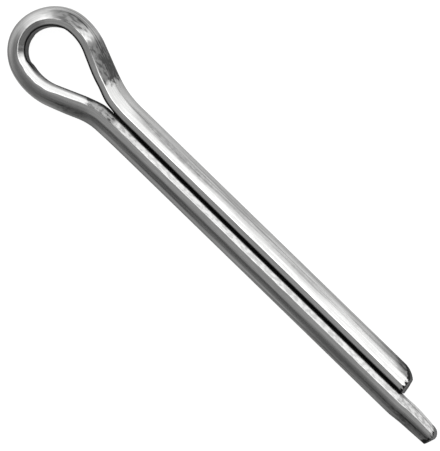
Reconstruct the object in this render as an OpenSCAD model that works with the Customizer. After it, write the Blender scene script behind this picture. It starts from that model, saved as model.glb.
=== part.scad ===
// Cotter pin with an extended prong, bent from one length of half-round wire.
// It lies flat, as it rests on a bench. +X runs down the shank from the eye to the
// tips, +Y points to the short prong's side and +Z is up. The origin is on the axis
// of the shank, where the neck ends and the two prongs start to run parallel.

/* [Wire] */
// Diameter over both prongs lying face to face
shank_d = 5.8; // [5:0.1:7]
// Gap between the flat faces of the prongs
prong_gap = 0.1; // [0.06:0.02:0.3]
// Distance from the shank's axis to the crease where each edge bevel meets the round
bevel_reach = 0.93; // [0.7:0.01:1.2]
// Angle that the edge bevels make with the square to the flat face
bevel_angle = 30; // [20:1:40]
// Rounding of the corners between the bevels and the flat face
corner_r = 0.4; // [0.2:0.05:0.5]
// How much fuller the wire stands all round where it is bent
bend_swell = 0.01; // [0.005:0.005:0.02]

/* [Eye] */
// Radius inside the crown of the eye
crown_r = 2.83; // [2.4:0.01:3.4]
// How much thinner the wire is pressed at the middle of the crown
crown_press = 0.34; // [0.1:0.02:0.6]
// Radius inside the shoulders, which join the crown to the sides of the eye
shoulder_r = 5.7; // [4.5:0.05:6.5]
// Turn of the shoulder on the short prong's side
short_shoulder_turn = 31; // [20:1:36]
// Turn of the shoulder on the long prong's side
long_shoulder_turn = 38; // [25:1:44]
// Angle that the short prong's side of the eye makes with the shank
short_side_angle = 24.7; // [23:0.1:28]
// Angle that the long prong's side of the eye makes with the shank
long_side_angle = 23; // [21:0.1:27]
// Neck bend on the short prong's side, measured at the flat face
short_neck_r = 18.4; // [10:0.1:20]
// Neck bend on the long prong's side, measured at the flat face
long_neck_r = 10; // [7:0.1:14]
// Gentle bend that leads the long prong's neck into the shank, at the flat face
ease_r = 60; // [40:1:80]
// Turn of that gentle bend
ease_angle = 2.6; // [2:0.1:4]

/* [Prongs] */
// Length of the short prong from the neck to its tip
short_prong_len = 47.3; // [20:0.1:80]
// How far the long prong runs past the short one
prong_step = 6.4; // [2:0.1:12]

/* [Short tip, sheared from the round side] */
// Radius of the roll-over where the blade came in
short_roll_r = 2.9; // [1.5:0.1:4]
// How deep the roll-over cuts into the end face
short_roll_depth = 0.9; // [0.4:0.05:1.2]
// Slant of the end face
short_face_slant = 11; // [0:1:20]

/* [Long tip, sheared from the flat side] */
// Radius of the roll-over where the blade came in
long_roll_r = 0.95; // [0.5:0.05:1.2]
// Slant of the end face
long_face_slant = 15; // [4:1:20]
// Length over which the flat face leans in before the roll-over
long_lead_len = 3.4; // [2:0.1:6]
// Angle at which the flat face leans in
long_lead_angle = 5; // [2:0.5:8]
// Length over which the round side is drawn in before the sharp corner
long_draw_len = 4.4; // [2:0.1:6]
// Angle at which the round side is drawn in
long_draw_angle = 2.5; // [1:0.5:5]

/* [Hidden] */
$fn = 96;

shank_r = shank_d / 2;
half_gap = prong_gap / 2;
wire_h = shank_r - half_gap;

// Sizes of the cubes that part the bends and of the blocks that shear the tips, which
// only have to reach past the wire
parting_size = 5 * max(short_neck_r, long_neck_r, ease_r, shoulder_r);
waste_size = 2 * shank_d;

// Height of the bevels' creases, and of the centres of the corner roundings
crease_z = sqrt(pow(shank_r, 2) - pow(bevel_reach, 2));
corner_z = crease_z
    - (bevel_reach - half_gap - corner_r) * tan(bevel_angle)
    - corner_r / cos(bevel_angle);

// How far the gentle bend shifts the long prong's neck back and aside
ease_back = (ease_r - long_neck_r) * sin(ease_angle);
ease_aside = neck_rise(ease_r - long_neck_r, ease_angle);

// The crown's centre lies a shoulder_offset from the flat face of each side of the eye.
// Each reach is its distance from the origin, taken square to that side.
short_reach = half_gap * cos(short_side_angle)
    - neck_rise(short_neck_r, short_side_angle)
    - shoulder_offset(short_shoulder_turn);
long_reach = (half_gap + ease_aside) * cos(long_side_angle)
    - ease_back * sin(long_side_angle)
    - neck_rise(long_neck_r, long_side_angle)
    - shoulder_offset(long_shoulder_turn);
eye_angle = short_side_angle + long_side_angle;
eye_x = (short_reach * cos(long_side_angle) + long_reach * cos(short_side_angle)) / sin(eye_angle);
eye_y = (short_reach * sin(long_side_angle) - long_reach * sin(short_side_angle)) / sin(eye_angle);

// Straight run of wire on each side of the eye, from the neck bend to the shoulder
short_side_len = side_len(short_neck_r, short_side_angle, short_shoulder_turn, eye_x, eye_y);
long_side_len = side_len(
    long_neck_r, long_side_angle, long_shoulder_turn, eye_x + ease_back, -eye_y - ease_aside
);

// What the crown still has to turn, and the cylinder that presses it thin. The cylinder
// meets the flat face at both ends of the crown.
crown_turn = 180 + eye_angle - short_shoulder_turn - long_shoulder_turn;
pressed_r = crown_r + crown_press;
press_shift = (pow(pressed_r, 2) - pow(crown_r, 2)) / (2 * (pressed_r - crown_r * cos(crown_turn / 2)));

// How far a bend of radius r moves the wire sideways as it turns it by an angle
function neck_rise(r, angle) = r * (1 - cos(angle));

// Distance from the flat face of a side to the crown's centre, past a shoulder
function shoulder_offset(turn) = shoulder_r - (shoulder_r - crown_r) * cos(turn);

// Length of a side of the eye. The crown's centre lies at x from where the neck ends, and
// at y from the shank's axis, or from as far beside it as the neck is.
function side_len(neck_r, angle, turn, x, y) =
    -(neck_r * sin(angle) + x) * cos(angle)
    - (half_gap + neck_rise(neck_r, angle) - y) * sin(angle)
    - (shoulder_r - crown_r) * sin(turn);

// Section of the wire: x is the distance from the flat face, y is the height. The round
// is part of the shank's own circle, so the two prongs together make a round shank.
module wire_section(swell = 0) {
    rounding_r = corner_r + swell;
    bevel_x = corner_r - rounding_r * sin(bevel_angle);
    bevel_y = corner_z + rounding_r * cos(bevel_angle);
    far_x = 2 * shank_r;
    far_y = bevel_y + (far_x - bevel_x) * tan(bevel_angle);
    intersection() {
        translate([-half_gap, 0]) circle(shank_r + swell);
        union() {
            for (side = [-1, 1])
                translate([corner_r, side * corner_z]) circle(rounding_r);
            polygon([
                [-swell, -corner_z],
                [-swell, corner_z],
                [bevel_x, bevel_y],
                [far_x, far_y],
                [far_x, -far_y],
                [bevel_x, -bevel_y]
            ]);
        }
    }
}

// The wire is laid down piece by piece. It travels along +X with its flat face on the
// left, at y = 0, and each piece carries what follows it as its children.
module wire_run(len) {
    rotate([90, 0, 90]) linear_extrude(len) mirror([1, 0]) wire_section();
    translate([len, 0, 0]) children();
}

// Everything behind the plane x = 0, or ahead of it
module behind() {
    translate([-parting_size, -parting_size / 2, -parting_size / 2]) cube(parting_size);
}
module ahead() {
    translate([0, -parting_size / 2, -parting_size / 2]) cube(parting_size);
}

// Frame at the end of a bend whose centre lies at r to the left
module past_bend(r, angle) {
    translate([0, r, 0]) rotate(sign(r) * angle) translate([0, -r, 0]) children();
}

// Stretch of a ring of wire that turns by less than half a turn. Its centre lies at r to
// the left, with the flat face inside, or for a negative r to the right, with it outside.
// Stretches that follow each other swell by different amounts, so that their sections
// never share an outline where they join.
module ring_stretch(r, angle, swell) {
    intersection() {
        translate([0, r, 0])
            rotate_extrude()
            translate([abs(r), 0]) mirror([r < 0 ? 1 : 0, 0]) wire_section(swell);
        ahead();
        past_bend(r, angle) behind();
    }
}

// Bend of the neck, round the wire's round side
module neck(r, angle, swell = bend_swell) {
    ring_stretch(-r, angle, swell);
    past_bend(-r, angle) children();
}

// Shoulder of the eye, round the flat face
module shoulder(angle) {
    ring_stretch(shoulder_r, angle, bend_swell);
    past_bend(shoulder_r, angle) children();
}

// Crown of the eye, pressed thin from inside
module crown() {
    difference() {
        ring_stretch(crown_r, crown_turn, 2 * bend_swell);
        translate([0, crown_r, 0])
            rotate(crown_turn / 2)
            translate([0, -press_shift, 0])
            cylinder(h = waste_size, r = pressed_r - press_shift, center = true);
    }
    past_bend(crown_r, crown_turn) children();
}

// The bent wire before its ends are sheared, starting from the short prong's neck
module bent_wire() {
    translate([0, half_gap, 0]) rotate(180)
        neck(short_neck_r, short_side_angle)
        wire_run(short_side_len)
        shoulder(short_shoulder_turn)
        crown()
        shoulder(long_shoulder_turn)
        wire_run(long_side_len)
        neck(long_neck_r, long_side_angle - ease_angle)
        neck(ease_r, ease_angle, bend_swell / 2)
        long_prong();
}

// Extrudes an outline drawn from above through the full height of the wire
module through_wire() {
    linear_extrude(waste_size, center = true) children();
}

// Everything to the left of the X axis
module left_of_axis() {
    translate([-waste_size, 0]) square([2 * waste_size, waste_size]);
}

// Waste outside a roll-over of radius r round the origin, between two directions
module roll_waste(r, from, to) {
    difference() {
        intersection() {
            rotate(from) left_of_axis();
            rotate(to) mirror([0, 1]) left_of_axis();
        }
        circle(r);
    }
}

// The short prong, from its neck to its tip
module short_prong() {
    roll_y = wire_h - short_roll_r;
    roll_back = sqrt(pow(short_roll_r, 2) - pow(short_roll_r - short_roll_depth, 2));
    roll_x = short_prong_len - (wire_h - short_roll_depth) * tan(short_face_slant) - roll_back;
    difference() {
        rotate([90, 0, 90]) linear_extrude(short_prong_len) wire_section();
        through_wire() {
            translate([roll_x, roll_y]) roll_waste(short_roll_r, 0, 90);
            translate([short_prong_len, 0]) rotate(short_face_slant - 90) left_of_axis();
        }
    }
}

// The long prong, with its flat face on the left like the rest of the wire
module long_prong() {
    len = short_prong_len + prong_step;
    roll_y = -(long_lead_len - long_roll_r) * tan(long_lead_angle) - long_roll_r / cos(long_lead_angle);
    difference() {
        wire_run(len);
        through_wire() {
            translate([len - long_roll_r, roll_y]) {
                roll_waste(long_roll_r, -long_face_slant, 90 - long_lead_angle);
                rotate(-90 - long_face_slant) translate([0, long_roll_r]) left_of_axis();
            }
            translate([len - long_lead_len, 0]) rotate(-long_lead_angle) left_of_axis();
            translate([len - long_draw_len, -wire_h]) rotate(long_draw_angle) mirror([0, 1]) left_of_axis();
        }
    }
}

module cotter_pin() {
    color("silver") {
        bent_wire();
        translate([0, half_gap, 0]) short_prong();
    }
}

cotter_pin();
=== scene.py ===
"""Cotter pin with an extended prong: the bent wire, its plated finish and a plain studio.

The wire is swept along the same path as the solid it stands for: up the short prong,
round the eye and down the long prong. The frame has +X from the eye to the tips, +Y to
the short prong's side and +Z up, and the pin lies flat.
"""

import logging  # noqa: E402
import math  # noqa: E402
from dataclasses import dataclass, field  # noqa: E402
from enum import Enum  # noqa: E402
from functools import partial, reduce  # noqa: E402
from typing import Iterable, Iterator  # noqa: E402

import bmesh  # noqa: E402
import bpy  # noqa: E402
from bmesh.types import BMEdge, BMesh, BMFace, BMVert  # noqa: E402
from mathutils import Matrix, Vector, noise  # noqa: E402

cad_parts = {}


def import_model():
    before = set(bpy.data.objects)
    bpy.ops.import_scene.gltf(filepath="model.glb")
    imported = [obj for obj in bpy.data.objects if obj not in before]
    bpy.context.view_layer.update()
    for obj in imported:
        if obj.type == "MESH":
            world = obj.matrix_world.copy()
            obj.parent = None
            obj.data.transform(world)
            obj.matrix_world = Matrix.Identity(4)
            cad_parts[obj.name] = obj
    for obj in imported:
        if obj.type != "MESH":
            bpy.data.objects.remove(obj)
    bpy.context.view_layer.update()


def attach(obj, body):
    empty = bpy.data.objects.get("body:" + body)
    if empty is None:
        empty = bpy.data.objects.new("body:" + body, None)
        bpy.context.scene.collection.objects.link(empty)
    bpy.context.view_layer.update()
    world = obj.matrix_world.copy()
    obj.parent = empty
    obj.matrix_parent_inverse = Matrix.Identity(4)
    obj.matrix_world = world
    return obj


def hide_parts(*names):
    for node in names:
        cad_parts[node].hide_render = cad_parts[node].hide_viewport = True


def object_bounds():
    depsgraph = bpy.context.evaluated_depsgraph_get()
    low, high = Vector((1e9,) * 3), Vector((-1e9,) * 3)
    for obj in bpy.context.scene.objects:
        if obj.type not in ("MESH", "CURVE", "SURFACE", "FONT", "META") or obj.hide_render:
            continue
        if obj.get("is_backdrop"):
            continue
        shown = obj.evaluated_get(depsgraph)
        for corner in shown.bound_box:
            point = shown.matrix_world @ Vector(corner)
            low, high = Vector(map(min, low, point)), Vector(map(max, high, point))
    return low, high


LOG = logging.getLogger("cotter_pin")
MM = 0.001
# Points of a mesh that lie nearer than this, in millimetres, count as touching.
TOUCH = 1e-5
NODE = "cotter_pin"
BODY = "root"
# The wire's own attributes: the place on it, and the way to its nearer end, in millimetres.
PLACE = "wire_place"
TO_END = "to_wire_end"

Colour = tuple[float, float, float]
Size = tuple[float, float, float]
Span = tuple[float, float]
Socket = bpy.types.NodeSocket
Operand = Socket | float


class Turn(Enum):
    """The way that a bend turns, seen from above while travelling along the wire."""

    LEFT = 1
    RIGHT = -1


class Finish(Enum):
    """The wire's finishes, by their place among its materials."""

    PLATED = 0
    SHEARED = 1


def ease(value: float, start: float, end: float) -> float:
    """Goes smoothly from 0 to 1 as a value goes from start to end.

    Args:
        value: The value.
        start: Where the result leaves 0. It may be greater than end.
        end: Where the result reaches 1.

    Returns:
        A share from 0 to 1.
    """
    share = min(1.0, max(0.0, (value - start) / (end - start)))
    return share * share * (3 - 2 * share)


def direction(degrees: float) -> Vector:
    """The level direction at an angle from +X towards +Y, in degrees."""
    angle = math.radians(degrees)
    return Vector((math.cos(angle), math.sin(angle), 0))


def object_of(bm: BMesh, name: str) -> bpy.types.Object:
    """Makes a finished mesh an object of the scene.

    Args:
        bm: The mesh in metres, which is freed.
        name: The name of the object and of its mesh.

    Returns:
        The new object.
    """
    mesh = bpy.data.meshes.new(name)
    bm.to_mesh(mesh)
    bm.free()
    made = bpy.data.objects.new(name, mesh)
    bpy.context.scene.collection.objects.link(made)
    return made


class Nodes:
    """Lays out the nodes of one shader tree."""

    def __init__(self, tree: bpy.types.NodeTree) -> None:
        """Empties a tree and takes it over.

        Args:
            tree: The shader tree to lay out.
        """
        self.tree = tree
        tree.nodes.clear()

    @classmethod
    def of_material(cls, name: str) -> tuple[bpy.types.Material, "Nodes"]:
        """Makes a new material.

        Args:
            name: The material's name.

        Returns:
            The material, and the layout of its tree.
        """
        material = bpy.data.materials.new(name)
        material.use_nodes = True
        return material, cls(material.node_tree)

    @classmethod
    def of_group(cls, name: str, inputs: Iterable[str], outputs: Iterable[str]) -> "Nodes":
        """Makes a new node group, whose inputs are vectors and whose outputs are values.

        Args:
            name: The group's name.
            inputs: The names of its inputs.
            outputs: The names of its outputs.

        Returns:
            The layout of the group's tree.
        """
        tree = bpy.data.node_groups.new(name, "ShaderNodeTree")
        for socket in inputs:
            tree.interface.new_socket(socket, in_out="INPUT", socket_type="NodeSocketVector")
        for socket in outputs:
            tree.interface.new_socket(socket, in_out="OUTPUT", socket_type="NodeSocketFloat")
        return cls(tree)

    def add(
        self, kind: str, values: dict[str | int, object] | None = None, **options: object
    ) -> bpy.types.Node:
        """Adds a node.

        Args:
            kind: Blender's name for the type of node.
            values: What goes into each input: a value, or the output to link from.
            options: The node's own settings.

        Returns:
            The new node.
        """
        node = self.tree.nodes.new(kind)
        for name, value in options.items():
            setattr(node, name, value)
        for key, value in (values or {}).items():
            if isinstance(value, Socket):
                self.tree.links.new(value, node.inputs[key])
            else:
                node.inputs[key].default_value = value
        return node

    def group(self, inner: "Nodes", values: dict[str, Socket]) -> bpy.types.Node:
        """Adds a node group.

        Args:
            inner: The layout of the group's own tree.
            values: The output to link each of its inputs from.

        Returns:
            The new node.
        """
        node = self.tree.nodes.new("ShaderNodeGroup")
        node.node_tree = inner.tree
        for key, value in values.items():
            self.tree.links.new(value, node.inputs[key])
        return node

    def attribute(self, name: str, output: str) -> Socket:
        """Reads an attribute of the mesh through one of the attribute node's outputs."""
        return self.add("ShaderNodeAttribute", attribute_name=name).outputs[output]

    def math(self, operation: str, *values: Operand) -> Socket:
        """Adds a math node.

        Args:
            operation: Blender's name for the operation.
            values: The operands, as values or as outputs to link from.

        Returns:
            The result.
        """
        return self.add("ShaderNodeMath", dict(enumerate(values)), operation=operation).outputs[0]

    def total(self, *values: Operand) -> Operand:
        """Adds values up."""
        return reduce(partial(self.math, "ADD"), values)

    def product(self, *values: Operand) -> Operand:
        """Multiplies values by each other."""
        return reduce(partial(self.math, "MULTIPLY"), values)

    def parts(self, vector: Socket) -> tuple[Socket, Socket, Socket]:
        """Separates a vector into its x, y and z."""
        outputs = self.add("ShaderNodeSeparateXYZ", {0: vector}).outputs
        return outputs[0], outputs[1], outputs[2]

    def ramp(
        self, value: Operand, low: float, high: float, start: float = 0.0, end: float = 1.0
    ) -> Socket:
        """Maps a value smoothly from one range to another.

        Args:
            value: The output to map.
            low: Where the result is start.
            high: Where the result is end.
            start: The result up to low.
            end: The result from high on.

        Returns:
            The mapped value.
        """
        inputs = {0: value, 1: low, 2: high, 3: start, 4: end}
        return self.add("ShaderNodeMapRange", inputs, interpolation_type="SMOOTHSTEP").outputs[0]

    def window(self, value: Operand, span: Span, soft: float) -> Operand:
        """Makes 1 of the values within a span and 0 of those outside it.

        Args:
            value: The output to look at.
            span: The ends of the span.
            soft: How wide the step at each end is.

        Returns:
            A value from 0 to 1.
        """
        start = self.ramp(value, span[0] - soft / 2, span[0] + soft / 2)
        end = self.ramp(value, span[1] - soft / 2, span[1] + soft / 2, 1.0, 0.0)
        return self.product(start, end)

    def mix(self, share: Operand, first: Operand, second: Operand) -> Socket:
        """Mixes two values.

        Args:
            share: How much of the second there is.
            first: A value, or the output to link from.
            second: Another.

        Returns:
            The mixed value.
        """
        return self.add("ShaderNodeMix", {0: share, 2: first, 3: second}).outputs[0]

    def blend(self, share: Operand, first: Socket | Colour, second: Socket | Colour) -> Socket:
        """Mixes two colours.

        Args:
            share: How much of the second there is.
            first: A colour, or the output to link from.
            second: Another.

        Returns:
            The mixed colour.
        """
        inputs = {0: share, 6: first, 7: second}
        for key, colour in ((6, first), (7, second)):
            if isinstance(colour, tuple):
                inputs[key] = (*colour, 1)
        return self.add("ShaderNodeMix", inputs, data_type="RGBA").outputs[2]

    def grain(self, place: Socket, size: Size, detail: float = 2.0) -> Socket:
        """Adds noise on the wire.

        Args:
            place: The place on the wire, in millimetres.
            size: The usual size of a grain along, into and across the wire.
            detail: How many finer layers the noise has.

        Returns:
            A value round 0.5.
        """
        scale = tuple(1 / length for length in size)
        moved = self.add("ShaderNodeVectorMath", {0: place, 1: scale}, operation="MULTIPLY").outputs[0]
        return self.add("ShaderNodeTexNoise", {"Vector": moved, "Scale": 1.0, "Detail": detail}).outputs[0]

    def metal(self, colour: Socket, roughness: Operand, height: Socket, relief: float) -> None:
        """Finishes a material as bare metal.

        Args:
            colour: The metal's colour.
            roughness: Its roughness.
            height: The height of its surface, from 0 to 1.
            relief: What a height of 1 stands for, in millimetres.
        """
        bump = self.add("ShaderNodeBump", {"Strength": 1.0, "Distance": relief * MM, "Height": height})
        shader = self.add("ShaderNodeBsdfPrincipled", {
            "Base Color": colour,
            "Metallic": 1.0,
            "Roughness": roughness,
            "Normal": bump.outputs[0],
        })
        self.add("ShaderNodeOutputMaterial", {"Surface": shader.outputs[0]})


@dataclass(frozen=True)
class Mark:
    """A dull, mottled patch of the skin, in millimetres: partly wear, partly painted darker reflection.

    Attributes:
        along: The length of wire that it spans, from the crown's middle towards the long tip.
        depth: The depths below the flat face that it spans.
        strength: How dull it is.
        even: The share of that strength that its brightest spots have.
        fade: The length over which it fades in at either end.
    """

    along: Span
    depth: Span
    strength: float
    even: float = 0.7
    fade: float = 1.8


@dataclass(frozen=True)
class SkinPoint:
    """The shader outputs that say where a point of the skin is, in millimetres.

    Attributes:
        along: The way along the wire, from the crown's middle towards the long tip.
        depth: The depth below the flat face.
        level: The height above or below the middle of the wire.
        to_end: The way to the nearer end.
        mottle: The noise there, which makes marks ragged and uneven.
    """

    along: Socket
    depth: Socket
    level: Socket
    to_end: Socket
    mottle: Socket


@dataclass(frozen=True)
class DrawnSkin:
    """The marks that drawing, bending and shearing leave on the wire, with painted shade and painted darker
    reflections, as a node group.

    Its outputs are the height of the surface, the shade of the metal, how worn the skin is,
    how dull it is with its painted darker reflections, and how much painted shade it has on the
    flat face and on the rolled rims at the ends. Sizes are in millimetres, along, into and across
    the wire. A span says between which two values something changes.

    Attributes:
        line_size: The fine lines of the drawing die.
        line_relief: How high they stand.
        line_share: Their share of the shade. The mottling has the rest.
        wave_size: The slow waves of the surface.
        mottle_size: The mottling.
        mottle_detail: How many finer layers it has.
        mottle_relief: How high it stands where the skin is worn.
        shade: The noise, from the darkest shade to the brightest.
        worn_along: How far from the crown's middle the wear of its round fades.
        worn_depth: The depths over which it begins.
        marks: The dull patches, partly wear and partly painted darker reflection.
        mark_edge: How soft their long edges are.
        mark_ragged: How far their ends wander.
        mark_spots: The noise, from their brightest spots to their dullest.
        scuff_size: The long scuffs on the round.
        scuff_noise: The noise, from no scuff to a full one.
        scuff_depth: The depths over which scuffs begin.
        scuff_strength: How dull they are.
        split_shade_depth: The depths over which the painted shade on the flat face fades.
        split_shade_along: Where it ends on the long prong.
        split_shade_gap: Where the long prong's side of the eye has less of it.
        split_shade_gap_soft: How soft the ends of that gap are.
        split_shade_gap_left: The share that is left there.
        split_shade_level: The levels over which it gets full towards the edges of the flat face.
        split_shade_inside: Its share in the middle of that face.
        rim_shade: The way from an end over which the painted shade on the rolled rim fades.
        rim_shade_depth: The depths over which that rim gets wider.
        rim_shade_outside: How much wider it gets.
        rim_shade_ragged: How ragged it is.
    """

    line_size: Size = (6.0, 0.16, 0.16)
    line_relief: float = 0.15
    line_share: float = 0.7
    wave_size: Size = (9.0, 0.7, 0.7)
    mottle_size: Size = (0.7, 0.35, 0.35)
    mottle_detail: float = 2.5
    mottle_relief: float = 0.25
    shade: Span = (0.4, 0.6)
    worn_along: Span = (5.0, 11.0)
    worn_depth: Span = (1.05, 1.4)
    # Partly wear, partly painted darker reflection where the metal would show too bright.
    marks: tuple[Mark, ...] = (
        Mark((-66.0, -62.0), (1.8, 4.0), 0.6, fade=2.0),
        Mark((-66.0, -58.0), (2.3, 4.0), 0.5, fade=5.0),
        Mark((-50.0, -17.0), (1.5, 2.3), 0.32, fade=5.0),
        Mark((-29.0, -18.0), (1.5, 2.25), 0.25, fade=5.0),
        Mark((-15.5, -11.5), (0.9, 2.0), 0.2, fade=3.0),
        Mark((-14.0, -8.5), (1.9, 4.0), 0.3, fade=3.5),
        Mark((-12.0, -6.3), (0.93, 4.0), 0.95, even=0.75, fade=1.2),
        Mark((-6.0, -3.2), (2.1, 4.0), 0.35),
        Mark((-5.1, -2.0), (0.95, 2.3), 0.9, fade=1.2),
        Mark((-0.8, 2.4), (0.9, 1.7), 0.25),
        Mark((3.5, 12.8), (-1.0, 0.38), 0.6, even=0.9, fade=0.9),
        Mark((4.5, 13.0), (1.35, 2.6), 0.35, fade=2.0),
        Mark((12.4, 16.6), (-1.0, 0.95), 0.8, fade=0.9),
        Mark((16.0, 21.0), (-1.0, 0.95), 0.2, fade=4.0),
        Mark((16.0, 72.0), (-1.0, 0.85), 0.36, even=0.15),
        Mark((9.0, 15.5), (1.9, 4.0), 0.45, fade=3.0),
        Mark((15.0, 72.0), (1.8, 2.3), 0.25, fade=2.0),
        Mark((52.0, 72.0), (1.4, 4.0), 0.36, fade=14.0),
        Mark((64.6, 72.0), (-1.0, 0.85), 0.2, even=0.8, fade=1.0),
        Mark((66.0, 72.0), (1.6, 4.0), 0.35, fade=4.0),
    )
    mark_edge: float = 0.22
    mark_ragged: float = 2.0
    mark_spots: Span = (0.4, 0.62)
    scuff_size: Size = (14.0, 0.4, 0.4)
    scuff_noise: Span = (0.5, 0.66)
    scuff_depth: Span = (1.6, 2.1)
    scuff_strength: float = 0.4
    # Painted shade on the flat face, between the prongs and inside the eye.
    split_shade_depth: Span = (0.14, 0.34)
    split_shade_along: Span = (63.6, 64.6)
    split_shade_gap: Span = (5.0, 19.0)
    split_shade_gap_soft: float = 2.0
    split_shade_gap_left: float = 0.4
    split_shade_level: Span = (1.6, 2.0)
    split_shade_inside: float = 0.6
    # Painted shade on the rolled rims at the ends.
    rim_shade: Span = (0.05, 0.3)
    rim_shade_depth: Span = (1.4, 2.6)
    rim_shade_outside: float = 0.45
    rim_shade_ragged: float = 1.5

    def group(self) -> Nodes:
        """Builds the node group.

        Returns:
            The layout of the group, with the inputs Place and To end.
        """
        outputs = ["Height", "Shade", "Worn", "Dull and painted reflection", "Painted shade"]
        nodes = Nodes.of_group("drawn_skin", ["Place", "To end"], outputs)
        inputs = nodes.add("NodeGroupInput").outputs
        place = inputs["Place"]
        along, depth, height = nodes.parts(place)
        mottle = nodes.grain(place, self.mottle_size, self.mottle_detail)
        point = SkinPoint(along, depth, nodes.math("ABSOLUTE", height), inputs["To end"], mottle)
        lines = nodes.grain(place, self.line_size)
        waves = nodes.grain(place, self.wave_size)
        scuffs = nodes.ramp(nodes.grain(place, self.scuff_size), *self.scuff_noise, 0.0, self.scuff_strength)
        scuffs = nodes.product(scuffs, nodes.ramp(depth, *self.scuff_depth))
        worn = nodes.ramp(nodes.math("ABSOLUTE", along), *self.worn_along, 1.0, 0.0)
        worn = nodes.product(worn, nodes.ramp(depth, *self.worn_depth))
        line_relief = nodes.product(lines, self.line_relief)
        mottle_relief = nodes.product(mottle, worn, self.mottle_relief)
        shade = nodes.total(nodes.product(lines, self.line_share), nodes.product(mottle, 1 - self.line_share))
        nodes.add("NodeGroupOutput", {
            "Height": nodes.total(waves, line_relief, mottle_relief),
            "Shade": nodes.ramp(shade, *self.shade),
            "Worn": worn,
            # Dull: wear and scuffs, with painted darker reflection.
            "Dull and painted reflection": nodes.total(self._wear_and_painted_reflection(nodes, point), scuffs),
            # Grime: painted shade on the flat face and on the rolled rims at the ends.
            "Painted shade": nodes.math("MAXIMUM", self._painted_shade(nodes, point), self._rim_shade(nodes, point)),
        })
        return nodes

    def _wear_and_painted_reflection(self, nodes: Nodes, point: SkinPoint) -> Operand:
        """Adds up the dull patches, which are partly wear and partly painted darker reflection.

        Args:
            nodes: The layout of the group's tree.
            point: Where the point is.

        Returns:
            How dull the skin is, painted darker reflections included.
        """
        ragged = nodes.product(nodes.math("SUBTRACT", point.mottle, 0.5), self.mark_ragged)
        along = nodes.total(point.along, ragged)
        patches = []
        for mark in self.marks:
            length = nodes.window(along, mark.along, mark.fade)
            breadth = nodes.window(point.depth, mark.depth, self.mark_edge)
            spots = nodes.ramp(point.mottle, *self.mark_spots, mark.strength * mark.even, mark.strength)
            patches.append(nodes.product(length, breadth, spots))
        return nodes.total(*patches)

    def _painted_shade(self, nodes: Nodes, point: SkinPoint) -> Operand:
        """Finds the painted shade on the flat face, where the prongs lie face to face and inside the eye.

        Args:
            nodes: The layout of the group's tree.
            point: Where the point is.

        Returns:
            How grimy the skin is.
        """
        # Painted shade: dark on the flat face, fullest near its edges where the prongs meet.
        near_flat_face = nodes.ramp(point.depth, *self.split_shade_depth, 1.0, 0.0)
        covered = nodes.ramp(point.along, *self.split_shade_along, 1.0, 0.0)
        in_gap = nodes.window(point.along, self.split_shade_gap, self.split_shade_gap_soft)
        left = nodes.math("SUBTRACT", 1.0, nodes.product(in_gap, 1 - self.split_shade_gap_left))
        inside = nodes.ramp(point.level, *self.split_shade_level, self.split_shade_inside, 1.0)
        return nodes.product(near_flat_face, covered, left, inside)

    def _rim_shade(self, nodes: Nodes, point: SkinPoint) -> Socket:
        """Finds the painted shade on the rolled rim at each end.

        Args:
            nodes: The layout of the group's tree.
            point: Where the point is.

        Returns:
            How dark the rim is.
        """
        # Painted shade on each rolled rim, wider towards the round.
        wider = nodes.ramp(point.depth, *self.rim_shade_depth, 0.0, self.rim_shade_outside)
        ragged = nodes.product(nodes.math("SUBTRACT", 0.5, point.mottle), self.rim_shade_ragged)
        to_rim = nodes.total(point.to_end, nodes.math("SUBTRACT", ragged, wider))
        return nodes.ramp(to_rim, *self.rim_shade, 1.0, 0.0)


@dataclass(frozen=True)
class PlatedSteel:
    """Bright zinc plate on drawn wire.

    Its colour goes from dull to bright with the shade, then to marked where wear and painted darker
    reflections lie, and to grimy where painted shade lies.
    """

    skin: DrawnSkin = DrawnSkin()
    bright: Colour = (0.78, 0.78, 0.775)
    dull: Colour = (0.67, 0.67, 0.665)
    # Dark colour of the dull patches: wear, and painted darker reflection.
    wear_and_painted_reflection: Colour = (0.10, 0.10, 0.10)
    # Near black of the painted shade.
    painted_shade: Colour = (0.03, 0.03, 0.03)
    roughness: float = 0.17
    worn_roughness: float = 0.38
    wear_and_painted_reflection_roughness: float = 0.6
    painted_shade_roughness: float = 0.6
    relief: float = 0.02

    def material(self) -> bpy.types.Material:
        """Builds the material.

        Returns:
            The new material.
        """
        material, nodes = Nodes.of_material("plated_wire")
        spot = {"Place": nodes.attribute(PLACE, "Vector"), "To end": nodes.attribute(TO_END, "Fac")}
        skin = nodes.group(self.skin.group(), spot).outputs
        colour = nodes.blend(skin["Shade"], self.dull, self.bright)
        # Wear and painted darker reflection.
        colour = nodes.blend(skin["Dull and painted reflection"], colour, self.wear_and_painted_reflection)
        # Painted shade.
        colour = nodes.blend(skin["Painted shade"], colour, self.painted_shade)
        roughness = nodes.ramp(skin["Worn"], 0.0, 1.0, self.roughness, self.worn_roughness)
        roughness = nodes.mix(skin["Dull and painted reflection"], roughness, self.wear_and_painted_reflection_roughness)
        roughness = nodes.mix(skin["Painted shade"], roughness, self.painted_shade_roughness)
        nodes.metal(colour, roughness, skin["Height"], self.relief)
        return material


@dataclass(frozen=True)
class ShearedSteel:
    """Bare, torn steel on the end faces, scored by the blade across the wire."""

    smooth: Colour = (0.06, 0.06, 0.06)
    torn: Colour = (0.02, 0.02, 0.02)
    roughness: float = 0.5
    score_size: Size = (2.0, 2.0, 0.12)
    score_detail: float = 4.0
    score_noise: Span = (0.35, 0.65)
    relief: float = 0.03

    def material(self) -> bpy.types.Material:
        """Builds the material.

        Returns:
            The new material.
        """
        material, nodes = Nodes.of_material("sheared_steel")
        scores = nodes.grain(nodes.attribute(PLACE, "Vector"), self.score_size, self.score_detail)
        colour = nodes.blend(nodes.ramp(scores, *self.score_noise), self.torn, self.smooth)
        nodes.metal(colour, self.roughness, scores, self.relief)
        return material


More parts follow.
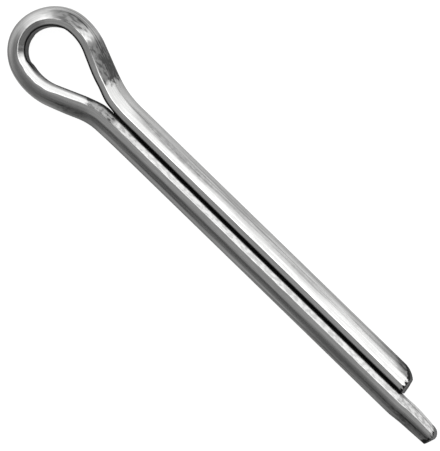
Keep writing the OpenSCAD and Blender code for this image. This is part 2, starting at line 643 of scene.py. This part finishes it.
@dataclass
class WireSection:
    """The half-round section, in millimetres: x from the flat face, z up.

    Both prongs lie flat to flat, so the round belongs to the circle of the shank. A facet
    above and another below slope from the round down to the flat face.

    Attributes:
        shank_r: The radius of the shank's circle.
        half_gap: Half the gap between the prongs.
        facet_reach: How far from the middle of the shank the facets meet the round.
        facet_slope: How steep they are, in degrees.
        corner_reach: How far the rounding of their corners at the flat face reaches.
        crease_soft: How softly a facet that has grown meets the round.
        round_segments: How many segments a whole circle has.
        corner_segments: How many segments a corner has.
        longest_edge: The length that no edge of the outline exceeds.
    """

    shank_r: float = 2.9
    half_gap: float = 0.05
    facet_reach: float = 0.88
    facet_slope: float = 30.0
    corner_reach: float = 0.36
    crease_soft: float = 0.08
    round_segments: int = 240
    corner_segments: int = 6
    longest_edge: float = 0.12

    @property
    def height(self) -> float:
        """Thickness of the wire, square to its flat face."""
        return self.shank_r - self.half_gap

    def build(self, bm: BMesh) -> list[BMEdge]:
        """Cuts the section from a disc and rounds its corners.

        Args:
            bm: An empty mesh, which then holds the outline in its XZ plane.

        Returns:
            The edges of the closed outline.
        """
        upright = Matrix.Rotation(math.radians(90), 4, "X")
        shift = Matrix.Translation((-self.half_gap, 0, 0))
        bmesh.ops.create_circle(
            bm, cap_ends=True, segments=self.round_segments, radius=self.shank_r, matrix=shift @ upright
        )
        self._cut(bm, Vector((0, 0, 0)), Vector((-1, 0, 0)))
        slope = math.radians(self.facet_slope)
        crease_x = self.facet_reach - self.half_gap
        crease_z = math.sqrt(self.shank_r**2 - self.facet_reach**2)
        for side in (-1, 1):
            normal = Vector((-math.sin(slope), 0, side * math.cos(slope)))
            self._cut(bm, Vector((crease_x, 0, side * crease_z)), normal)
        flat = [v for v in bm.verts if abs(v.co.x) < TOUCH]
        bmesh.ops.bevel(
            bm, geom=flat, offset=self.corner_reach, offset_type="OFFSET", segments=self.corner_segments,
            profile=0.5, affect="VERTICES", material=-1,
        )
        self._divide(bm)
        bmesh.ops.delete(bm, geom=list(bm.faces), context="FACES_ONLY")
        return list(bm.edges)

    def crushed(self, point: Vector, growth: float) -> Vector:
        """Moves a point of the outline to where it lies once its facet has grown.

        Args:
            point: The point, with x from the flat face and z up.
            growth: How much further than usual the facet reaches over the round.

        Returns:
            The point, brought down to the facet where it stood above it.
        """
        reach = self.facet_reach + growth
        fall = (reach - self.half_gap - point.x) * math.tan(math.radians(self.facet_slope))
        over = abs(point.z) - math.sqrt(self.shank_r**2 - reach**2) + fall
        if over <= -self.crease_soft:
            return point
        down = min(over, self.crease_soft) + self.crease_soft
        lowered = abs(point.z) - down**2 / (4 * self.crease_soft) - max(0.0, over - self.crease_soft)
        return Vector((point.x, 0, math.copysign(lowered, point.z)))

    @staticmethod
    def _cut(bm: BMesh, point: Vector, normal: Vector) -> None:
        """Removes what lies beyond a plane from the section.

        Args:
            bm: The mesh that holds the section.
            point: A point on the plane.
            normal: The side that is removed.
        """
        geom = list(bm.verts) + list(bm.edges) + list(bm.faces)
        bmesh.ops.bisect_plane(bm, geom=geom, dist=TOUCH, plane_co=point, plane_no=normal, clear_outer=True)

    def _divide(self, bm: BMesh) -> None:
        """Divides the section's long edges.

        Args:
            bm: The mesh that holds the section.
        """
        for edge in list(bm.edges):
            cuts = math.ceil(edge.calc_length() / self.longest_edge) - 1
            if cuts > 0:
                bmesh.ops.subdivide_edges(bm, edges=[edge], cuts=cuts)


@dataclass(frozen=True)
class Station:
    """A place along the wire, in millimetres.

    Attributes:
        matrix: Stands a section there.
        distance: The way along the wire from its start.
        pressed_in: How far the flat face is pressed in.
        proud: How far the round stands proud.
        inset: How far the whole outline is inset.
        growth: How much the facets have grown, below and above.
    """

    matrix: Matrix
    distance: float
    pressed_in: float
    proud: float
    inset: float
    growth: Span


@dataclass(frozen=True)
class EyeSide:
    """One side of the eye, from its neck to the crown, in millimetres and degrees.

    Attributes:
        neck_r: The radius of the neck's bend at the flat face.
        neck_x: Where that bend starts.
        angle: How far it turns, and so the side's angle to the prongs.
        shoulder_turn: How far the shoulder turns on the way to the crown.
        proud: How far the round stands proud at the neck.
        proud_x: Where it does so most.
        proud_reach: How far from there it fades.
        press: How far the flat face is pressed in.
        facet_growth: How much wider the facets are.
        facet_wave: How far their edges ripple.
    """

    neck_r: float
    neck_x: float
    angle: float
    shoulder_turn: float
    proud: float
    proud_x: float
    proud_reach: float
    press: float
    facet_growth: float
    facet_wave: float


@dataclass
class WirePath:
    """The way that the wire takes, in millimetres and degrees, as seen from above.

    It starts at the short tip and keeps the flat face on its left. A span of x or y says
    where a change starts and where it is full.

    Attributes:
        section: The section that the wire has.
        short_side: The eye's side that leads to the short prong.
        long_side: The eye's side that leads to the long prong.
        shoulder_r: The radius of both shoulders at the flat face.
        crown_r: The radius of the crown at the flat face.
        short_len: Where the short tip is.
        prong_step: How far the long tip is past the short one.
        press_x: Where the sides' flat faces are pressed in.
        crown_press: How much further the crown's is.
        crown_press_lean: How far past the crown's middle it is pressed in most.
        crown_press_soft: How softly that pressing starts and ends.
        crown_skew: How far the crown's round is skewed.
        growth_x: Where the facets grow.
        crown_y: Where the crown changes from the long side's facets to the short side's.
        wave_length: The usual length of a ripple in the facets' edges.
        wave_seed: Where in the noise those ripples are read.
        straight_wave: The share of the ripples that the straight prongs have.
        rim_r: The rounding round the end faces.
        rim_steps: How many steps that rounding has.
        run_step: About how far apart the stations of a straight run are.
        turn_step: About how far the wire turns between the stations of a bend.
        middle: How far from the start the crown's middle is, once the stations are made.
    """

    section: WireSection
    short_side: EyeSide = EyeSide(
        neck_r=18.4, neck_x=0.0, angle=24.7, shoulder_turn=31.0, proud=0.2, proud_x=-6.8,
        proud_reach=3.0, press=0.24, facet_growth=0.16, facet_wave=0.1,
    )
    long_side: EyeSide = EyeSide(
        neck_r=10.0, neck_x=-2.3, angle=23.0, shoulder_turn=38.0, proud=0.27, proud_x=-6.5,
        proud_reach=4.0, press=0.19, facet_growth=0.3, facet_wave=0.22,
    )
    shoulder_r: float = 5.71
    crown_r: float = 2.83
    short_len: float = 47.3
    prong_step: float = 6.4
    press_x: Span = (-3.0, -5.5)
    crown_press: float = 0.34
    crown_press_lean: float = 30.0
    crown_press_soft: float = 0.15
    crown_skew: float = 0.12
    growth_x: Span = (-5.5, -10.0)
    crown_y: Span = (-4.2, -0.8)
    wave_length: float = 0.7
    wave_seed: tuple[float, float] = (10.5, 0.5)
    straight_wave: float = 0.35
    rim_r: float = 0.06
    rim_steps: int = 3
    run_step: float = 0.3
    turn_step: float = 2.5
    middle: float = field(init=False)
    _point: Vector = field(init=False)
    _heading: float = field(init=False)
    _distance: float = field(init=False)

    def stations(self) -> Iterator[Station]:
        """Follows the wire from the short tip to the long tip.

        Yields:
            Every station on the way.
        """
        short, long = self.short_side, self.long_side
        short_run, long_run = self._side_runs()
        crown = 180 + short.angle + long.angle - short.shoulder_turn - long.shoulder_turn
        self._point = Vector((self.short_len, self.section.half_gap, 0))
        self._heading = 180.0
        self._distance = 0.0
        yield from self._rim(reversed(range(self.rim_steps + 1)), self._ahead())
        yield from self._run(self.short_len - self.rim_r - short.neck_x)
        yield from self._turn(short.neck_r, short.angle, Turn.RIGHT)
        yield from self._run(short_run)
        yield from self._turn(self.shoulder_r, short.shoulder_turn, Turn.LEFT)
        self.middle = self._distance + math.radians(crown) * self.crown_r / 2
        yield from self._turn(self.crown_r, crown, Turn.LEFT, is_crown=True)
        yield from self._turn(self.shoulder_r, long.shoulder_turn, Turn.LEFT)
        yield from self._run(long_run)
        yield from self._turn(long.neck_r, long.angle, Turn.RIGHT)
        yield from self._run(self.short_len + self.prong_step - self.rim_r - long.neck_x)
        self._advance(self.rim_r)
        yield from self._rim(range(1, self.rim_steps + 1), -self._ahead())

    def _side_runs(self) -> tuple[float, float]:
        """Finds the straight runs that bring both sides to one crown.

        Returns:
            The length of the short prong's side and that of the long prong's side.
        """
        short_start, short_way = self._crown_line(self.short_side, 1)
        long_start, long_way = self._crown_line(self.long_side, -1)
        apart = long_start - short_start
        cross = short_way.cross(long_way)
        return apart.cross(long_way) / cross, apart.cross(short_way) / cross

    def _crown_line(self, side: EyeSide, sign: int) -> tuple[Vector, Vector]:
        """Finds where the crown's centre lies for any straight run on one side.

        Args:
            side: That side of the eye.
            sign: 1 on the short prong's side, or -1 on the other.

        Returns:
            The centre with no straight run, and how it moves with the run's length.
        """
        angle = math.radians(side.angle)
        joint = math.radians(side.angle - side.shoulder_turn)
        x = side.neck_x - side.neck_r * math.sin(angle)
        y = self.section.half_gap + side.neck_r * (1 - math.cos(angle))
        x -= self.shoulder_r * math.sin(angle) - (self.shoulder_r - self.crown_r) * math.sin(joint)
        y -= self.shoulder_r * math.cos(angle) - (self.shoulder_r - self.crown_r) * math.cos(joint)
        return Vector((x, sign * y)), Vector((-math.cos(angle), sign * math.sin(angle)))

    def _rim(self, steps: Iterable[int], inwards: Vector) -> Iterator[Station]:
        """Rounds a rim, where the outline draws in to the end face.

        Args:
            steps: The steps of the rounding, from 0 at its root.
            inwards: The direction from the end face into the wire.

        Yields:
            The station of each step.
        """
        end = self._point.copy()
        for i in steps:
            angle = math.radians(90 * i / self.rim_steps)
            self._point = end + inwards * self.rim_r * (1 - math.sin(angle))
            yield self._here(inset=self.rim_r * (1 - math.cos(angle)))

    def _run(self, length: float) -> Iterator[Station]:
        """Goes straight ahead.

        Args:
            length: The length of the run.

        Yields:
            The stations of the run.
        """
        steps = max(1, round(length / self.run_step))
        for _ in range(steps):
            self._advance(length / steps)
            yield self._here()

    def _turn(self, radius: float, angle: float, way: Turn, is_crown: bool = False) -> Iterator[Station]:
        """Goes round a bend.

        Args:
            radius: The radius at the flat face.
            angle: How far the bend turns, in degrees.
            way: The side that it turns to.
            is_crown: Whether this is the crown, which is pressed out of round.

        Yields:
            The stations of the bend.
        """
        centre = self._point - self._right() * radius * way.value
        steps = max(1, round(angle / self.turn_step), round(math.radians(angle) * radius / self.run_step))
        step = angle / steps
        spin = Matrix.Rotation(math.radians(step * way.value), 3, "Z")
        for i in range(1, steps + 1):
            self._point = centre + spin @ (self._point - centre)
            self._heading += step * way.value
            self._distance += math.radians(step) * radius
            from_middle = math.radians(step * i - angle / 2)
            yield self._crown_here(from_middle) if is_crown else self._here()

    def _advance(self, length: float) -> None:
        """Moves straight ahead by a length."""
        self._point = self._point + self._ahead() * length
        self._distance += length

    def _ahead(self) -> Vector:
        """The direction that the path is heading in."""
        return direction(self._heading)

    def _right(self) -> Vector:
        """The direction to the right of the way the path is heading."""
        return direction(self._heading - 90)

    def _here(self, pressed_in: float = 0.0, proud: float = 0.0, inset: float = 0.0) -> Station:
        """Makes the station at the present point.

        Args:
            pressed_in: How far the flat face is pressed in, past what the eye's sides have.
            proud: How far the round stands proud, past what the necks have.
            inset: How far the whole outline is inset.

        Returns:
            The station.
        """
        turn = Matrix.Rotation(math.radians(self._heading - 90), 4, "Z")
        side = self.short_side if self._point.y > 0 else self.long_side
        from_neck = (self._point.x - side.proud_x) / side.proud_reach
        proud += side.proud * math.exp(-(from_neck**2))
        pressed_in += side.press * ease(self._point.x, *self.press_x)
        place = Matrix.Translation(self._point) @ turn
        growth = (self._growth(-1), self._growth(1))
        return Station(place, self._distance, pressed_in, proud, inset, growth)

    def _crown_here(self, from_middle: float) -> Station:
        """Makes the station at the present point of the crown.

        Args:
            from_middle: How far the crown has turned past its middle, in radians.

        Returns:
            The station.
        """
        fade = max(0.0, math.cos(from_middle)) ** 2
        lean = math.cos(from_middle - math.radians(self.crown_press_lean))
        pressed_in = self.crown_press * max(0.0, lean) ** 2 * ease(fade, 0.0, self.crown_press_soft)
        return self._here(pressed_in, proud=self.crown_skew * math.sin(2 * from_middle) * fade)

    def _growth(self, level: int) -> float:
        """Finds how much a facet has grown at the present point.

        Args:
            level: 1 for the upper facet, or -1 for the lower.

        Returns:
            How much further than usual it reaches over the round.
        """
        short = ease(self._point.y, *self.crown_y)
        growth = self.long_side.facet_growth * (1 - short) + self.short_side.facet_growth * short
        wave = self.long_side.facet_wave * (1 - short) + self.short_side.facet_wave * short
        in_eye = ease(self._point.x, *self.growth_x)
        row, layer = self.wave_seed
        ripple = noise.noise(Vector((self._distance / self.wave_length, row * level, layer)))
        return growth * in_eye + wave * ripple * max(in_eye, self.straight_wave)


@dataclass
class ShortTip:
    """The short prong's end, sheared by a blade that came in from the round side.

    Attributes:
        section: The section that the wire has.
        length: Where the tip is along the prong, in millimetres.
        side: 1 for the prong at +Y, or -1 for the one at -Y.
        zone: The length of prong that the shear moves.
        slant: How far the end face leans back from square, in degrees.
        roll_r: The radius of the edge that the blade rolled over.
        roll_depth: How deep into the wire that edge reaches.
        strips: How many strips the end face is cut into.
    """

    section: WireSection
    length: float
    side: int = 1
    zone: float = 6.0
    slant: float = 11.0
    roll_r: float = 2.9
    roll_depth: float = 0.9
    strips: int = 20

    def setback(self, depth: float) -> float:
        """Finds how far the end face lies behind the tip.

        Args:
            depth: The depth below the flat face.

        Returns:
            That distance along the prong.
        """
        lean = math.tan(math.radians(self.slant))
        start = self.section.height - self.roll_depth
        if depth <= start:
            return depth * lean
        reach = math.sqrt(self.roll_r**2 - (self.roll_r - self.roll_depth) ** 2)
        rise = self.roll_r - self.section.height + depth
        return start * lean + reach - math.sqrt(max(0.0, self.roll_r**2 - rise**2))

    def shear(self, point: Vector) -> Vector:
        """Moves a point of the straight prong to its place on the sheared one.

        Args:
            point: A point within the zone.

        Returns:
            Where it lies after the shear.
        """
        depth = self.side * point.y - self.section.half_gap
        share = 1 - (self.length - point.x) / self.zone
        return Vector((point.x - self.setback(depth) * share, point.y, point.z))


@dataclass
class LongTip(ShortTip):
    """The long prong's end, sheared by a blade that came in from the flat side.

    Its rolled edge is a whole quarter round. The flat face leads away from the middle, the
    point is drawn thinner, and the end springs a little towards the other prong.

    Attributes:
        lead_len: The length over which the flat face leads away, in millimetres.
        lead_in: How far it does at the tip.
        draw_len: The length of the drawn point.
        draw_angle: The angle at which it gets thinner, in degrees.
        ahead: How far the end face stands ahead of the tip's own length.
        spring: How far the end springs.
        spring_len: The length over which it starts to.
    """

    side: int = -1
    slant: float = 16.0
    roll_r: float = 1.1
    lead_len: float = 4.5
    lead_in: float = 0.25
    draw_len: float = 6.0
    draw_angle: float = 2.6
    ahead: float = 0.1
    spring: float = 0.08
    spring_len: float = 2.0

    def setback(self, depth: float) -> float:
        """Finds how far the end face lies behind the tip.

        Args:
            depth: The depth below the flat face, which leads away.

        Returns:
            That distance along the prong.
        """
        lean = math.tan(math.radians(self.slant))
        rolled = max(0.0, self.roll_r - depth)
        roll = self.roll_r - math.sqrt(max(0.0, self.roll_r**2 - rolled**2))
        return roll + max(0.0, depth - self.roll_r) * lean - self.ahead

    def shear(self, point: Vector) -> Vector:
        """Moves a point of the straight prong to its place on the sheared one.

        Args:
            point: A point within the zone.

        Returns:
            Where it lies after the shear.
        """
        height = self.section.height
        depth = self.side * point.y - self.section.half_gap
        back = self.length - point.x
        lead = self.lead_in * max(0.0, 1 - back / self.lead_len) ** 2
        draw = max(0.0, self.draw_len - back) * math.tan(math.radians(self.draw_angle))
        inside = depth * (1 - lead / height - draw / height)
        x = point.x - self.setback(inside) * (1 - back / self.zone)
        sprung = self.spring * ease(back, self.zone, self.zone - self.spring_len)
        return Vector((x, self.side * (self.section.half_gap + lead + inside - sprung), point.z))


@dataclass
class BentWire:
    """The pin itself: one length of half-round wire, bent and sheared at both ends."""

    section: WireSection
    path: WirePath
    plated: PlatedSteel = PlatedSteel()
    sheared: ShearedSteel = ShearedSteel()

    def build(self) -> bpy.types.Object:
        """Sweeps the section along the path and closes its ends.

        Returns:
            The finished piece, in metres.
        """
        bm = bmesh.new()
        first, last = self._sweep(bm)
        self._close(bm, first, ShortTip(self.section, self.path.short_len))
        self._close(bm, last, LongTip(self.section, self.path.short_len + self.path.prong_step))
        bmesh.ops.recalc_face_normals(bm, faces=list(bm.faces))
        for face in bm.faces:
            face.smooth = True
        bmesh.ops.scale(bm, vec=(MM, MM, MM), verts=list(bm.verts))
        return object_of(bm, "bent_wire")

    def dress(self, wire: bpy.types.Object) -> None:
        """Gives the wire its materials: plated along it, and sheared on its end faces.

        Args:
            wire: The piece that build made.
        """
        finishes = {Finish.PLATED: self.plated, Finish.SHEARED: self.sheared}
        for finish in Finish:
            wire.data.materials.append(finishes[finish].material())

    def _sweep(self, bm: BMesh) -> tuple[list[BMEdge], list[BMEdge]]:
        """Sweeps the section along the path and writes the wire's attributes.

        Args:
            bm: An empty mesh, which then holds the open wire in millimetres.

        Returns:
            The edges of the outline at the short tip and at the long tip.
        """
        place = bm.verts.layers.float_vector.new(PLACE)
        to_end = bm.verts.layers.float.new(TO_END)
        first = ring = self.section.build(bm)
        for vert in self._verts(ring):
            vert[place] = (0, vert.co.x, vert.co.z)
        stations = list(self.path.stations())
        for station in stations:
            if station is not stations[0]:
                ring = self._extrude(bm, ring)
            matrix = station.matrix @ self._stretch(station)
            below, above = station.growth
            for vert in self._verts(ring):
                local = Vector((vert[place].y, 0, vert[place].z))
                vert.co = matrix @ self.section.crushed(local, above if local.z > 0 else below)
                vert[place] = (station.distance - self.path.middle, local.x, local.z)
                vert[to_end] = min(station.distance, stations[-1].distance - station.distance)
        return first, ring

    def _stretch(self, station: Station) -> Matrix:
        """Brings the section's flat face and its round to where the station has them.

        Args:
            station: The station that the section is for.

        Returns:
            The matrix that does so to a section that isn't turned yet.
        """
        height, shank_r = self.section.height, self.section.shank_r
        inner = station.pressed_in + station.inset
        thickness = height + station.proud - station.inset - inner
        moved = Matrix.Translation((inner, 0, 0))
        upright = Matrix.Scale(1 - station.inset / shank_r, 4, (0, 0, 1))
        return moved @ Matrix.Scale(thickness / height, 4, (1, 0, 0)) @ upright

    def _close(self, bm: BMesh, ring: list[BMEdge], tip: ShortTip) -> None:
        """Closes one end of the wire and shears it to shape.

        Args:
            bm: The mesh that holds the wire.
            ring: The edges of the outline at that end.
            tip: The shape of the end.
        """
        faces = bmesh.ops.contextual_create(bm, geom=ring)["faces"]
        for edge in ring:
            edge.smooth = False
        for i in range(1, tip.strips):
            depth = tip.side * (self.section.half_gap + self.section.height * i / tip.strips)
            geom = list({g for f in faces for g in (*f.verts, *f.edges, f)})
            cut = bmesh.ops.bisect_plane(
                bm, geom=geom, dist=TOUCH, plane_co=(0, depth, 0), plane_no=(0, 1, 0)
            )
            faces = [g for g in cut["geom"] if isinstance(g, BMFace)]
        for face in faces:
            face.material_index = Finish.SHEARED.value
        for vert in bm.verts:
            if vert.co.x > tip.length - tip.zone and tip.side * vert.co.y > 0:
                vert.co = tip.shear(vert.co)

    @staticmethod
    def _verts(edges: list[BMEdge]) -> list[BMVert]:
        """The corners of some edges, each once."""
        return list({v for e in edges for v in e.verts})

    @staticmethod
    def _extrude(bm: BMesh, ring: list[BMEdge]) -> list[BMEdge]:
        """Extrudes the outline at the wire's end.

        Args:
            bm: The mesh that holds the wire.
            ring: The edges of the outline.

        Returns:
            The edges of the new outline.
        """
        made = bmesh.ops.extrude_edge_only(bm, edges=ring)["geom"]
        fresh = {v for v in made if isinstance(v, BMVert)}
        return [e for e in made if isinstance(e, BMEdge) and e.verts[0] in fresh and e.verts[1] in fresh]


@dataclass(frozen=True)
class Panel:
    """A soft bright panel of the studio, by the directions that it covers, in degrees.

    Attributes:
        azimuth: Its ends, from +Y towards +X.
        polar: Its ends, from straight up.
        strength: How bright it is.
        soft_aside: How soft its ends in azimuth are.
        soft_above: How soft its other ends are.
    """

    azimuth: Span
    polar: Span
    strength: float
    soft_aside: float = 12.0
    soft_above: float = 12.0


@dataclass(frozen=True)
class Pool:
    """A patch of light on the floor that only the metal sees, in millimetres.

    Attributes:
        x: Its ends along the pin.
        y: Its ends across the pin.
        strength: How bright it is.
        soft: How soft its ends are.
    """

    x: Span
    y: Span
    strength: float
    soft: float = 8.0


@dataclass
class Studio:
    """The floor, the surroundings and the camera, in millimetres and degrees.

    Attributes:
        floor_z: The floor's height, in metres.
        centre: The place on the pin that the camera looks at.
        frame_height: The height that its picture covers there.
        heading: The angle from +X towards +Y of the picture's right-hand side.
        tilt: How far the camera leans towards the tips.
        roll: How far it leans aside.
        distance: How far it is from the pin.
        sensor: The size of its sensor.
        clip: How near and how far it sees.
        floor_size: How far the floor reaches from its middle.
        floor_colour: The floor's own colour.
        backdrop: How bright the camera sees the floor from above.
        backdrop_aside: How bright it sees the floor in a low view.
        view_height: The sines of the elevations over which that changes.
        pools: The patches of light on the floor.
        ambient: How bright the surroundings are between the panels.
        panels: The panels round the pin.
    """

    floor_z: float
    centre: tuple[float, float] = (17.03, -0.785)
    frame_height: float = 54.9
    heading: float = 43.96
    tilt: float = 5.0
    roll: float = 2.5
    distance: float = 1500.0
    sensor: float = 36.0
    clip: Span = (10.0, 10000.0)
    floor_size: float = 2000.0
    floor_colour: Colour = (0.22, 0.22, 0.22)
    backdrop: float = 0.95
    backdrop_aside: float = 0.6
    view_height: Span = (0.2, 0.9)
    pools: tuple[Pool, ...] = (
        Pool((-400, 400), (-14, -4), 0.17),
        Pool((-400, 46), (3, 400), 0.5, soft=16),
        Pool((8, 60), (16, 400), 0.4),
        Pool((-400, -22), (-16, 30), 0.3),
        Pool((47.8, 70), (-2, 9), 0.7, soft=2),
        Pool((-12, -4), (-3, 3), 0.2, soft=2),
    )
    ambient: float = 0.085
    panels: tuple[Panel, ...] = (
        Panel((-100, 36), (0, 92), 1.25, soft_aside=24),
        Panel((130, 230), (0, 73), 0.25),
        Panel((50, 130), (0, 80), 0.09),
        Panel((-180, 180), (0, 24), 1.0, soft_above=8),
    )

    def build(self) -> None:
        """Builds everything round the pin."""
        self._floor()
        self._world()
        self._camera()
        bpy.context.scene.view_settings.view_transform = "Standard"

    def _floor(self) -> None:
        """Lays the floor, which the camera sees as white from above and as light grey from low down."""
        bm = bmesh.new()
        bmesh.ops.create_grid(bm, x_segments=1, y_segments=1, size=self.floor_size * MM)
        bmesh.ops.translate(bm, vec=(0, 0, self.floor_z), verts=list(bm.verts))
        floor = object_of(bm, "floor")
        material, nodes = Nodes.of_material("floor")
        matte = nodes.add("ShaderNodeBsdfDiffuse", {"Color": (*self.floor_colour, 1)})
        path = nodes.add("ShaderNodeLightPath").outputs
        geometry = nodes.add("ShaderNodeNewGeometry").outputs
        elevation = nodes.parts(geometry["Incoming"])[2]
        backdrop = nodes.ramp(elevation, *self.view_height, self.backdrop_aside, self.backdrop)
        seen = nodes.product(path["Is Camera Ray"], backdrop)
        in_metal = nodes.math("MAXIMUM", path["Is Glossy Ray"], path["Is Transmission Ray"])
        mirrored = nodes.product(in_metal, self._pool_light(nodes, geometry["Position"]))
        strength = nodes.total(seen, mirrored)
        glow = nodes.add("ShaderNodeEmission", {"Color": (1, 1, 1, 1), "Strength": strength})
        both = nodes.add("ShaderNodeAddShader", {0: matte.outputs[0], 1: glow.outputs[0]})
        nodes.add("ShaderNodeOutputMaterial", {"Surface": both.outputs[0]})
        floor.data.materials.append(material)
        floor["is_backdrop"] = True

    def _pool_light(self, nodes: Nodes, position: Socket) -> Operand:
        """Adds up the pools of light on the floor.

        Args:
            nodes: The layout of the floor's tree.
            position: The place on the floor, in metres.

        Returns:
            How bright the floor is there.
        """
        x, y, _ = nodes.parts(position)
        pools = []
        for pool in self.pools:
            along = nodes.window(x, (pool.x[0] * MM, pool.x[1] * MM), pool.soft * MM)
            aside = nodes.window(y, (pool.y[0] * MM, pool.y[1] * MM), pool.soft * MM)
            pools.append(nodes.product(along, aside, pool.strength))
        return nodes.total(*pools)

    def _world(self) -> None:
        """Surrounds the pin with dim walls and bright panels, and the camera with white."""
        world = bpy.data.worlds.new("studio")
        bpy.context.scene.world = world
        world.use_nodes = True
        nodes = Nodes(world.node_tree)
        x, y, z = nodes.parts(nodes.add("ShaderNodeTexCoord").outputs["Generated"])
        polar = nodes.product(nodes.math("ARCCOSINE", z), math.degrees(1))
        azimuth = nodes.product(nodes.math("ARCTAN2", x, y), math.degrees(1))
        panels = [self._panel_light(nodes, panel, azimuth, polar) for panel in self.panels]
        is_seen = nodes.add("ShaderNodeLightPath").outputs["Is Camera Ray"]
        strength = nodes.mix(is_seen, nodes.total(self.ambient, *panels), 1.0)
        background = nodes.add("ShaderNodeBackground", {"Color": (1, 1, 1, 1), "Strength": strength})
        nodes.add("ShaderNodeOutputWorld", {"Surface": background.outputs[0]})

    @staticmethod
    def _panel_light(nodes: Nodes, panel: Panel, azimuth: Socket, polar: Socket) -> Operand:
        """Adds one panel.

        Args:
            nodes: The layout of the world's tree.
            panel: The panel to add.
            azimuth: The direction's azimuth.
            polar: Its angle from straight up.

        Returns:
            The panel's light in that direction.
        """
        middle = sum(panel.azimuth) / 2
        half = (panel.azimuth[1] - panel.azimuth[0]) / 2
        aside = nodes.math("WRAP", nodes.math("SUBTRACT", azimuth, middle), 180.0, -180.0)
        # A panel that starts straight up has no edge there.
        top = panel.polar[0] if panel.polar[0] > 0 else -panel.soft_above
        across = nodes.window(aside, (-half, half), panel.soft_aside)
        down = nodes.window(polar, (top, panel.polar[1]), panel.soft_above)
        return nodes.product(across, down, panel.strength)

    def _camera(self) -> None:
        """Hangs the camera over the pin, leaning a little towards the tips."""
        tilt = Matrix.Rotation(math.radians(self.tilt), 3, "Y")
        roll = Matrix.Rotation(math.radians(-self.roll), 3, "X")
        along, aside, back = (tilt @ roll).transposed()
        heading = math.radians(self.heading)
        right = along * math.cos(heading) + aside * math.sin(heading)
        up = aside * math.cos(heading) - along * math.sin(heading)
        data = bpy.data.cameras.new("camera")
        data.sensor_width = self.sensor
        data.lens = self.sensor * self.distance / self.frame_height
        data.clip_start, data.clip_end = (end * MM for end in self.clip)
        camera = bpy.data.objects.new("camera", data)
        bpy.context.scene.collection.objects.link(camera)
        place = Matrix((right, up, back)).transposed().to_4x4()
        place.translation = Vector((*self.centre, 0)) * MM + back * self.distance * MM
        camera.matrix_world = place
        bpy.context.scene.camera = camera


def main() -> None:
    """Builds the pin and its studio and reports each piece."""
    logging.basicConfig(level=logging.INFO, format="%(name)s: %(message)s")
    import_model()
    section = WireSection()
    pin = BentWire(section, WirePath(section))
    wire = pin.build()
    pin.dress(wire)
    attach(wire, BODY)
    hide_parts(NODE)
    LOG.info("bent wire: %d faces", len(wire.data.polygons))
    studio = Studio(floor_z=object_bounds()[0].z)
    studio.build()
    LOG.info("studio: floor at %.3f mm, %d panels", studio.floor_z / MM, len(studio.panels))


if __name__ == "__main__":
    main()
